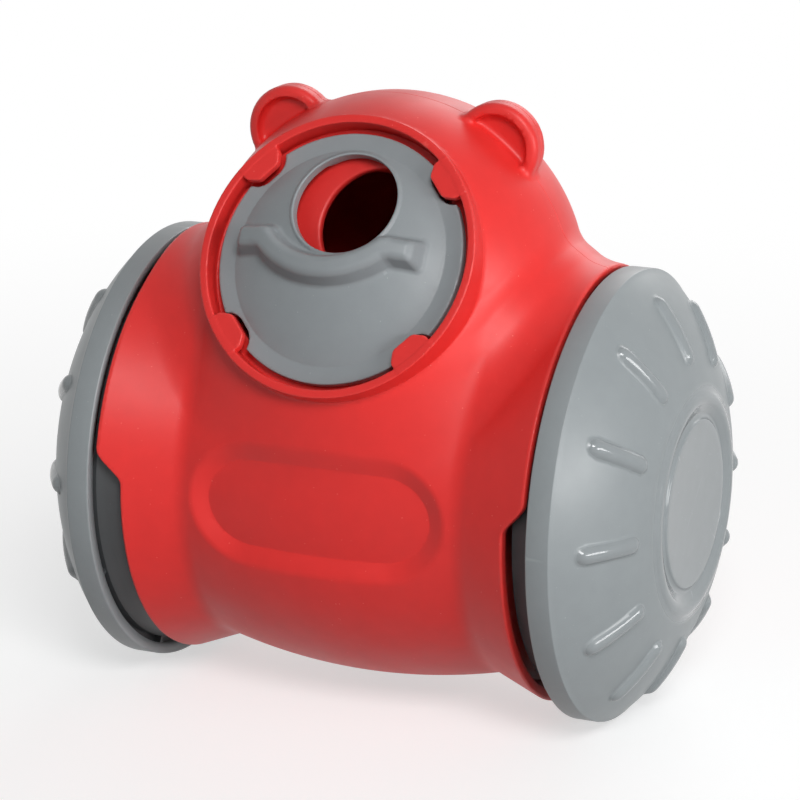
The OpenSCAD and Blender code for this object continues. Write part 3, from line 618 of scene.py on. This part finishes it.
def lid_shape(x, u, out):
    ring = np.hypot(x, u)
    bottom = LID_TOP - LID_FLANGE_T
    thick = between(out, bottom, LID_TOP)
    flange = trimmed(trimmed(ring - LID_R, thick, LID_ROUND), SKIRT_R - ring, LID_BORE_ROUND)
    step_band = np.maximum(between(ring, LID_DOME_R - LID_WALL, LID_DOME_R + LID_WALL), thick)
    skirt = trimmed(between(ring, SKIRT_R, SKIRT_R + SKIRT_WALL),
                    between(out, bottom - SKIRT_LEN, bottom + SKIRT_LAP), LID_INNER_ROUND)
    ball = np.hypot(ring, out - LID_BALL_OUT) - LID_BALL_R
    dome = np.maximum(between(ball, -LID_WALL, 0), bottom - out)
    dome = trimmed(dome, ring - LID_DOME_R, LID_DOME_ROUND)
    lid = joined(np.minimum(np.minimum(flange, step_band), skirt), dome, LID_INNER_ROUND)
    hole = np.hypot(x, u - OUTLET_OFF)
    lip = trimmed(hole - OUTLET_R - LIP_WALL, ball - LIP_HIGH, LID_ROUND)
    lip = trimmed(lip, -ball - LIP_DEEP, LID_INNER_ROUND)
    lid = joined(joined(lid, lip, LID_INNER_ROUND), grip_shape(x, u, out), GRIP_FOOT_ROUND)
    lid = trimmed(lid, OUTLET_R - hole, OUTLET_ROUND)
    return trimmed(lid, -tab_plan(x, u, NOTCH_ROOM), LID_ROUND)


def make_outlet(materials):
    for name, shape, grid, body, node, slot in (
            ("outlet_collar_ring", collar_shape, COLLAR_GRID, "body", "outlet_collar", "red_plastic"),
            ("throat_cover", throat_shape, THROAT_GRID, "body", "throat_plate", "red_plastic"),
            ("lid_with_grip", lid_shape, LID_GRID, "lid", "twist_lid", "gray_plastic")):
        points, faces, normals, _ = meshed(shape, *grid)
        points = to_outlet(points) + np.array([0, -RIM_FORE, RIM_UP])
        normals = to_outlet(normals.reshape(-1, 3))
        piece(name, points, faces, materials[slot], body, [node], normals)


# Wheel caps

def arc_points(middle, r, first, last, count):
    """Points along an arc between two angles in degrees."""
    turns = np.radians(np.linspace(first, last, count))
    return [(middle[0] + r*math.cos(t), middle[1] + r*math.sin(t)) for t in turns]


def dome_circle():
    """Middle and radius of the long curve of the cap between its rim and its hub ring."""
    foot, top = np.array([WHEEL_R, RIM_OUT_X]), np.array([RING_OUT_R, RING_BASE_X])
    chord = top - foot
    long = np.linalg.norm(chord)
    r = (long*long/4 + DOME_BULGE**2)/(2*DOME_BULGE)
    outward = np.array([chord[1], -chord[0]])/long
    return (foot + top)/2 - (r - DOME_BULGE)*outward, r


def cap_outline():
    """The cap's rings as radius and place on the axle: outside from rim to hub, and inside back."""
    middle, r = dome_circle()

    def on_dome(at_r, inset=0.0):
        return middle[1] + math.sqrt((r - inset)**2 - (at_r - middle[0])**2)

    corner_r = WHEEL_R - RIM_BEVEL
    rim = arc_points((corner_r, RIM_IN_X + RIM_BEVEL), RIM_BEVEL, *RIM_BACK_ARC)
    rim += arc_points((corner_r, on_dome(corner_r) - RIM_BEVEL), RIM_BEVEL, *RIM_FRONT_ARC)
    dome = [(at, on_dome(at)) for at in np.arange(corner_r - RIM_BEVEL, RING_OUT_R - DOME_ROW/2, -DOME_ROW)]
    ring = arc_points((RING_CREST_R, RING_CREST_X - RING_TUBE_R), RING_TUBE_R, *RING_ARC)
    groove = arc_points((HUB_GROOVE_R, HUB_GROOVE_X + HUB_GROOVE_ROUND), HUB_GROOVE_ROUND, *HUB_GROOVE_ARC)
    edge_middle = (HUB_DISC_R - HUB_DISC_ROUND, HUB_DISC_X - HUB_DISC_ROUND)
    edge = arc_points(edge_middle, HUB_DISC_ROUND, *HUB_DISC_ARC)
    disc = [(at, HUB_DISC_X - HUB_DISH*(1 - (at/HUB_DISC_R)**2)) for at in HUB_DISC_ROWS]
    inside = [(HUB_CORE_R, HUB_BACK_X), (HUB_BACK_R, HUB_BACK_X)]
    inside += [(at, on_dome(at, CAP_WALL)) for at in np.arange(RING_OUT_R, RIM_BORE_R - BACK_END, BACK_ROW)]
    inside += [(RIM_BORE_R, on_dome(RIM_BORE_R, CAP_WALL) - RIM_BACK), (RIM_BORE_R, RIM_IN_X)]
    return rim + dome + ring + groove + edge + disc, inside


def bar_rows(r, turn):
    """Radius, angle and lift of each point of the dome, with the points near a bar's foot moved onto it."""
    pitch = 2*math.pi/BARS
    off = (turn + pitch/2) % pitch - pitch/2
    along, aside = r*np.cos(off), r*np.sin(off)
    beyond = along - np.clip(along, BAR_IN_R + BAR_R, BAR_OUT_R - BAR_R)
    away = np.maximum(np.hypot(beyond, aside), 1e-6)
    foot_r = math.sqrt(BAR_R**2 - (BAR_R - BAR_HIGH)**2)
    pull = np.where(np.abs(away - foot_r) < FOOT_PULL, foot_r/away - 1, 0)
    along, aside, away = along + beyond*pull, aside*(1 + pull), away*(1 + pull)
    back = np.sqrt(np.maximum(BAR_R**2 - away**2, 0)) - (BAR_R - BAR_HIGH)
    lift = smooth_max(back, 0*back, BAR_FOOT_SOFT)
    return np.hypot(along, aside), turn - off + np.arctan2(aside, along), lift


def raised_bars(r, x, turn, on_dome):
    """Radii, places on the axle and angles of the cap's points with the bars raised, and their lift."""
    middle, dome_r = dome_circle()
    moved_r, moved_turn, lift = bar_rows(r, turn)
    moved_x = middle[1] + np.sqrt(dome_r**2 - (moved_r - middle[0])**2)
    r, x, turn, lift = (np.where(on_dome, new, old) for new, old in (
        (moved_r, r), (moved_x, x), (moved_turn, turn), (lift, 0)))
    away = np.stack([r - middle[0], x - middle[1]])
    away /= np.linalg.norm(away, axis=0)
    return r + away[0]*lift, x + away[1]*lift, turn, lift


def cap_faces(rows, hub_row, hand):
    """Quads between the cap's rings, with the hub closed by a face outside, at hub_row, and one inside."""
    i, j = np.meshgrid(np.arange(rows), np.arange(CAP_STEPS), indexing="ij")
    following = (i + 1) % rows
    ahead = (j + 1) % CAP_STEPS
    quads = np.stack([i*CAP_STEPS + j, i*CAP_STEPS + ahead,
                      following*CAP_STEPS + ahead, following*CAP_STEPS + j], -1)
    quads = np.delete(quads, hub_row, 0).reshape(-1, 4)
    faces = quads.tolist() if hand > 0 else quads[:, ::-1].tolist()
    for row, facing in ((hub_row, hand), (hub_row + 1, -hand)):
        ring = [row*CAP_STEPS + k for k in range(CAP_STEPS)]
        faces.append(ring if facing > 0 else ring[::-1])
    return faces


def make_wheel_cap(name, node, body, hand, material):
    """A wheel's outer cap; its polish attribute is 1 on the hub and from half the height of the bars up."""
    outside, inside = cap_outline()
    profile = np.array(outside + inside)
    rows = len(profile)
    r, x = (np.repeat(profile[:, [k]], CAP_STEPS, 1) for k in (0, 1))
    turn = np.repeat(2*math.pi*np.arange(CAP_STEPS)[None, :]/CAP_STEPS, rows, 0)
    shows = (np.arange(rows) < len(outside))[:, None]
    on_dome = shows & (r > RING_OUT_R + BARS_CLEAR) & (r < WHEEL_R - BARS_CLEAR)
    on_hub = shows & (r < RING_CREST_R + RING_TUBE_R)
    r, x, turn, lift = raised_bars(r, x, turn, on_dome)
    points = np.stack([hand*x, -r*np.sin(turn), AXLE_UP + r*np.cos(turn)], -1).reshape(-1, 3)
    faces = cap_faces(rows, len(outside) - 1, hand)
    cap = piece(name, points, faces, material, body, [node])
    shine = np.clip(lift/(BAR_HIGH/2) + on_hub, 0, 1)
    polish = cap.data.attributes.new("polish", "FLOAT", "POINT")
    polish.data.foreach_set("value", shine.ravel().astype(np.float32))


# Materials

def add(tree, kind, **values):
    """A new node; values set its inputs by name, or its own settings where it has no such input."""
    node = tree.nodes.new(kind)
    for name, value in values.items():
        plug = name.replace("_", " ").title()
        if plug in node.inputs:
            node.inputs[plug].default_value = value
        else:
            setattr(node, name, value)
    return node


def maths(tree, operation, first, second, clamp=False):
    """A math node's output; first and second are sockets or numbers."""
    node = tree.nodes.new("ShaderNodeMath")
    node.operation = operation
    node.use_clamp = clamp
    for plug, value in zip(node.inputs, (first, second)):
        if isinstance(value, (int, float)):
            plug.default_value = value
        else:
            tree.links.new(value, plug)
    return node.outputs[0]


def new_group(name, inputs, outputs):
    """An empty shader node group with float sockets; inputs gives each one's usual value."""
    group = bpy.data.node_groups.new(name, "ShaderNodeTree")
    for socket, value in inputs.items():
        made = group.interface.new_socket(socket, in_out="INPUT", socket_type="NodeSocketFloat")
        made.default_value = value
    for socket in outputs:
        group.interface.new_socket(socket, in_out="OUTPUT", socket_type="NodeSocketFloat")
    return group, group.nodes.new("NodeGroupInput"), group.nodes.new("NodeGroupOutput")


def grain_group():
    """Fine texture of the mould: tight grain over softer unevenness."""
    group, given, made = new_group(
        "moulded_grain", {"Grain": 2200, "Swell": 260}, ("Height", "Shade"))
    place = add(group, "ShaderNodeTexCoord")
    fine = add(group, "ShaderNodeTexNoise", detail=2.0, roughness=0.55)
    soft = add(group, "ShaderNodeTexNoise", detail=3.0, roughness=0.5)
    for noise, scale in ((fine, "Grain"), (soft, "Swell")):
        group.links.new(place.outputs["Object"], noise.inputs["Vector"])
        group.links.new(given.outputs[scale], noise.inputs["Scale"])
    swell = maths(group, "MULTIPLY", soft.outputs["Fac"], SWELL_SHARE)
    group.links.new(maths(group, "ADD", fine.outputs["Fac"], swell), made.inputs["Height"])
    group.links.new(soft.outputs["Fac"], made.inputs["Shade"])
    return group


def speck_group():
    """Small pale specks, scattered over the surface."""
    group, given, made = new_group("pale_specks", {"Specks": 900, "Size": 0.16, "Share": 0.35}, ("Mask",))
    place = add(group, "ShaderNodeTexCoord")
    cells = add(group, "ShaderNodeTexVoronoi")
    group.links.new(place.outputs["Object"], cells.inputs["Vector"])
    group.links.new(given.outputs["Specks"], cells.inputs["Scale"])
    split = add(group, "ShaderNodeSeparateColor")
    group.links.new(cells.outputs["Color"], split.inputs["Color"])
    size = maths(group, "MULTIPLY", given.outputs["Size"], split.outputs["Green"])
    near = maths(group, "SUBTRACT", size, cells.outputs["Distance"])
    round_spot = maths(group, "MULTIPLY", near, SPECK_SHARP, clamp=True)
    chosen = maths(group, "LESS_THAN", split.outputs["Red"], given.outputs["Share"])
    group.links.new(maths(group, "MULTIPLY", round_spot, chosen), made.inputs["Mask"])
    return group


def wear_group():
    """Rubbed outer edges, broken up by a soft noise."""
    group, given, made = new_group("rubbed_edges", {"Start": 0.53, "Full": 0.6, "Breaks": 220}, ("Mask",))
    place = add(group, "ShaderNodeTexCoord")
    surface = add(group, "ShaderNodeNewGeometry")
    breaks = add(group, "ShaderNodeTexNoise", detail=4.0)
    group.links.new(place.outputs["Object"], breaks.inputs["Vector"])
    group.links.new(given.outputs["Breaks"], breaks.inputs["Scale"])
    edge = add(group, "ShaderNodeMapRange")
    group.links.new(surface.outputs["Pointiness"], edge.inputs["Value"])
    group.links.new(given.outputs["Start"], edge.inputs["From Min"])
    group.links.new(given.outputs["Full"], edge.inputs["From Max"])
    group.links.new(maths(group, "MULTIPLY", edge.outputs["Result"], breaks.outputs["Fac"], clamp=True),
                    made.inputs["Mask"])
    return group


def haze_group():
    """Broad patches where hands and paws have dulled or polished the plastic."""
    group, given, made = new_group("handled_haze", {"Patches": 38}, ("Mask",))
    place = add(group, "ShaderNodeTexCoord")
    patches = add(group, "ShaderNodeTexNoise", detail=5.0, roughness=0.62)
    group.links.new(place.outputs["Object"], patches.inputs["Vector"])
    group.links.new(given.outputs["Patches"], patches.inputs["Scale"])
    spread = add(group, "ShaderNodeMapRange", from_min=0.36, from_max=0.66)
    group.links.new(patches.outputs["Fac"], spread.inputs["Value"])
    group.links.new(spread.outputs["Result"], made.inputs["Mask"])
    return group


def placed(material, group, **values):
    """A group node in a material, with its own values."""
    node = material.node_tree.nodes.new("ShaderNodeGroup")
    node.node_tree = group
    for name, value in values.items():
        node.inputs[name.title()].default_value = value
    return node


def mixed(tree, share, first, second):
    """Colour mix of two colours or sockets by a share or its socket."""
    node = tree.nodes.new("ShaderNodeMix")
    node.data_type = "RGBA"
    for plug, value in ((node.inputs["Factor"], share), (node.inputs[6], first), (node.inputs[7], second)):
        if isinstance(value, (int, float)):
            plug.default_value = value
        elif isinstance(value, tuple):
            plug.default_value = (*value, 1)
        else:
            tree.links.new(value, plug)
    return node.outputs[2]


def moulded_plastic(name, groups, color, worn, dull, specular=0.5, specks=0.3, speck_color=None,
                    polished=None):
    """Moulded plastic: grain, specks, rubbed edges and haze over one colour.

    With polished, the roughness runs down to it where the mesh's polish attribute is 1.
    """
    material = bpy.data.materials.new(name)
    material.use_nodes = True
    tree = material.node_tree
    shader = tree.nodes["Principled BSDF"]
    shader.inputs["Specular IOR Level"].default_value = specular
    texture = placed(material, groups["grain"])
    spots = placed(material, groups["specks"], share=specks)
    rubbed = placed(material, groups["wear"])
    haze = placed(material, groups["haze"])
    deep = tuple(DEEP_TONE*c for c in color)
    toned = mixed(tree, texture.outputs["Shade"], deep, color)
    specked = maths(tree, "MULTIPLY", spots.outputs["Mask"], SPECK_SHARE)
    spotted = mixed(tree, specked, toned, speck_color or worn)
    faded = mixed(tree, maths(tree, "MULTIPLY", rubbed.outputs["Mask"], RUB_SHARE), spotted, worn)
    tree.links.new(faded, shader.inputs["Base Color"])
    hazed = maths(tree, "MULTIPLY", haze.outputs["Mask"], HAZE_ROUGH)
    rough = maths(tree, "ADD", hazed, dull - HAZE_ROUGH/2)
    rough = maths(tree, "SUBTRACT", rough, maths(tree, "MULTIPLY", rubbed.outputs["Mask"], RUB_SMOOTH))
    height = texture.outputs["Height"]
    if polished:
        polish = add(tree, "ShaderNodeAttribute", attribute_name="polish").outputs["Fac"]
        gloss = maths(tree, "MULTIPLY", polish, dull - polished)
        rough = maths(tree, "SUBTRACT", rough, gloss, clamp=True)
        depth = maths(tree, "SUBTRACT", 1.0, maths(tree, "MULTIPLY", polish, POLISH_FLAT))
        height = maths(tree, "MULTIPLY", height, depth)
    tree.links.new(rough, shader.inputs["Roughness"])
    bump = add(tree, "ShaderNodeBump", strength=0.5, distance=0.00002)
    tree.links.new(height, bump.inputs["Height"])
    tree.links.new(bump.outputs["Normal"], shader.inputs["Normal"])
    return material


def plated_steel(groups):
    """Zinc-plated steel with a fine brushed haze."""
    material = bpy.data.materials.new("zinc_steel")
    material.use_nodes = True
    tree = material.node_tree
    shader = tree.nodes["Principled BSDF"]
    shader.inputs["Metallic"].default_value = 1
    texture = placed(material, groups["grain"], grain=3600, swell=900)
    rubbed = placed(material, groups["wear"])
    haze = placed(material, groups["haze"], patches=160)
    toned = mixed(tree, texture.outputs["Shade"], STEEL_DEEP, STEEL_PALE)
    bright = mixed(tree, rubbed.outputs["Mask"], toned, STEEL_WORN)
    tree.links.new(bright, shader.inputs["Base Color"])
    rough = maths(tree, "ADD", maths(tree, "MULTIPLY", haze.outputs["Mask"], STEEL_HAZE), STEEL_ROUGH)
    tree.links.new(rough, shader.inputs["Roughness"])
    bump = add(tree, "ShaderNodeBump", strength=0.3, distance=0.00001)
    tree.links.new(texture.outputs["Height"], bump.inputs["Height"])
    tree.links.new(bump.outputs["Normal"], shader.inputs["Normal"])
    return material


def make_materials():
    groups = {"grain": grain_group(), "specks": speck_group(), "wear": wear_group(), "haze": haze_group()}
    return {
        "red_plastic": moulded_plastic(
            "red_body_plastic", groups, color=(0.75, 0.028, 0.025), worn=(0.86, 0.12, 0.1), dull=0.42,
            specular=0.38, speck_color=(0.9, 0.22, 0.18)),
        "gray_plastic": moulded_plastic(
            "gray_lid_plastic", groups, color=(0.27, 0.293, 0.306), worn=(0.42, 0.45, 0.47), dull=0.38,
            specular=0.3, specks=0.2),
        "wheel_plastic": moulded_plastic(
            "gray_wheel_plastic", groups, color=(0.255, 0.28, 0.29), worn=(0.4, 0.43, 0.45), dull=0.4,
            specks=0.25, polished=0.13),
        "dark_gray_plastic": moulded_plastic(
            "dark_drum_plastic", groups, color=(0.05, 0.054, 0.057), worn=(0.16, 0.17, 0.18), dull=0.45,
            specks=0.15),
        "bush_plastic": moulded_plastic(
            "bush_plastic", groups, color=(0.62, 0.42, 0.14), worn=(0.75, 0.6, 0.3), dull=0.35, specks=0.1),
        "zinc_steel": plated_steel(groups)}


def dress_cad_nodes(materials):
    """Gives every CAD node that stays the finish of its material slot."""
    slots = {part["node"]: part["material_slot"] for part in frame["record"]["subparts"]}
    for name, node in frame["nodes"].items():
        node.data.materials.clear()
        node.data.materials.append(materials[slots[name]])


# Light, floor and camera

def make_camera():
    data = bpy.data.cameras.new("photo_camera")
    camera = bpy.data.objects.new("photo_camera", data)
    bpy.context.scene.collection.objects.link(camera)
    azimuth, elevation = math.radians(CAMERA_AZIMUTH), math.radians(CAMERA_ELEVATION)
    back = Vector((math.sin(azimuth)*math.cos(elevation),
                   -math.cos(azimuth)*math.cos(elevation), math.sin(elevation)))
    camera.location = back*CAMERA_DISTANCE + Vector((0, 0, AXLE_UP*MM))
    camera.rotation_euler = back.to_track_quat("Z", "Y").to_euler()
    data.sensor_width = SENSOR_MM
    data.lens = CAMERA_FOCAL_PX/PHOTO_PX*SENSOR_MM
    data.shift_x = (PHOTO_PX/2 - CAMERA_CENTRE_PX[0])/PHOTO_PX
    data.shift_y = (CAMERA_CENTRE_PX[1] - PHOTO_PX/2)/PHOTO_PX
    data.clip_start, data.clip_end = 0.01, 20
    bpy.context.scene.camera = camera


def make_light(name, place, aim, size, power):
    data = bpy.data.lights.new(name, "AREA")
    data.shape = "RECTANGLE"
    data.size, data.size_y = size
    data.energy = power
    light = bpy.data.objects.new(name, data)
    bpy.context.scene.collection.objects.link(light)
    light.location = place
    light.rotation_euler = (Vector(place) - Vector(aim)).to_track_quat("Z", "Y").to_euler()


def looked_at(tree):
    """1 for rays of the camera, of gloss and of glass, and 0 for light that bounces about."""
    path = tree.nodes.new("ShaderNodeLightPath")
    mirrored = maths(tree, "MAXIMUM", path.outputs["Is Glossy Ray"], path.outputs["Is Transmission Ray"])
    return maths(tree, "MAXIMUM", path.outputs["Is Camera Ray"], mirrored)


def floor_material():
    """Pale floor that keeps the shadow and melts into a white backdrop further out."""
    material = bpy.data.materials.new("floor_pale")
    material.use_nodes = True
    tree = material.node_tree
    shader = tree.nodes["Principled BSDF"]
    shader.inputs["Base Color"].default_value = (*FLOOR_COLOR, 1)
    shader.inputs["Roughness"].default_value = 0.7
    shader.inputs["Specular IOR Level"].default_value = 0.2
    shader.inputs["Emission Color"].default_value = (1, 1, 1, 1)
    looks = looked_at(tree)
    tree.links.new(maths(tree, "MULTIPLY", looks, FLOOR_GLOW), shader.inputs["Emission Strength"])
    place = tree.nodes.new("ShaderNodeTexCoord")
    away = tree.nodes.new("ShaderNodeVectorMath")
    away.operation = "LENGTH"
    tree.links.new(place.outputs["Object"], away.inputs[0])
    fade = add(tree, "ShaderNodeMapRange", interpolation_type="SMOOTHSTEP", from_min=FLOOR_FADE[0],
               from_max=FLOOR_FADE[1])
    tree.links.new(away.outputs["Value"], fade.inputs["Value"])
    backdrop = add(tree, "ShaderNodeEmission", strength=1.0)
    blend = tree.nodes.new("ShaderNodeMixShader")
    tree.links.new(maths(tree, "MULTIPLY", looks, fade.outputs["Result"]), blend.inputs["Fac"])
    tree.links.new(shader.outputs["BSDF"], blend.inputs[1])
    tree.links.new(backdrop.outputs["Emission"], blend.inputs[2])
    tree.links.new(blend.outputs["Shader"], tree.nodes["Material Output"].inputs["Surface"])
    return material


def make_floor():
    floor = bpy.data.meshes.new("floor")
    floor.from_pydata([(x*FLOOR_REACH, y*FLOOR_REACH, 0) for x, y in ((-1, -1), (1, -1), (1, 1), (-1, 1))],
                      [], [(0, 1, 2, 3)])
    floor.materials.append(floor_material())
    floor_object = bpy.data.objects.new("floor", floor)
    bpy.context.scene.collection.objects.link(floor_object)


def make_surroundings():
    """Dim light from all round, which looks white to the camera and in reflections."""
    world = bpy.data.worlds.new("studio_world")
    bpy.context.scene.world = world
    world.use_nodes = True
    tree = world.node_tree
    sky = tree.nodes["Background"]
    sky.inputs["Color"].default_value = (1, 1, 1, 1)
    lit = add(tree, "ShaderNodeMapRange", to_min=AMBIENT, to_max=1.0)
    tree.links.new(looked_at(tree), lit.inputs["Value"])
    tree.links.new(lit.outputs["Result"], sky.inputs["Strength"])


def make_studio():
    for name, azimuth, elevation, size, power in SOFTBOXES:
        turn, rise = math.radians(azimuth), math.radians(elevation)
        toward = Vector((math.sin(turn)*math.cos(rise), -math.cos(turn)*math.cos(rise), math.sin(rise)))
        make_light(name, LIGHT_AIM + toward*LIGHT_DISTANCE, LIGHT_AIM, size, power)
    make_floor()
    make_surroundings()


materials = make_materials()
make_body(materials["red_plastic"])
make_outlet(materials)
make_wheel_cap("right_cap_shell", "right_wheel_cap", "right_wheel", 1, materials["wheel_plastic"])
make_wheel_cap("left_cap_shell", "left_wheel_cap", "left_wheel", -1, materials["wheel_plastic"])
dress_cad_nodes(materials)
make_studio()
make_camera()
bpy.context.scene.view_settings.view_transform = "Standard"
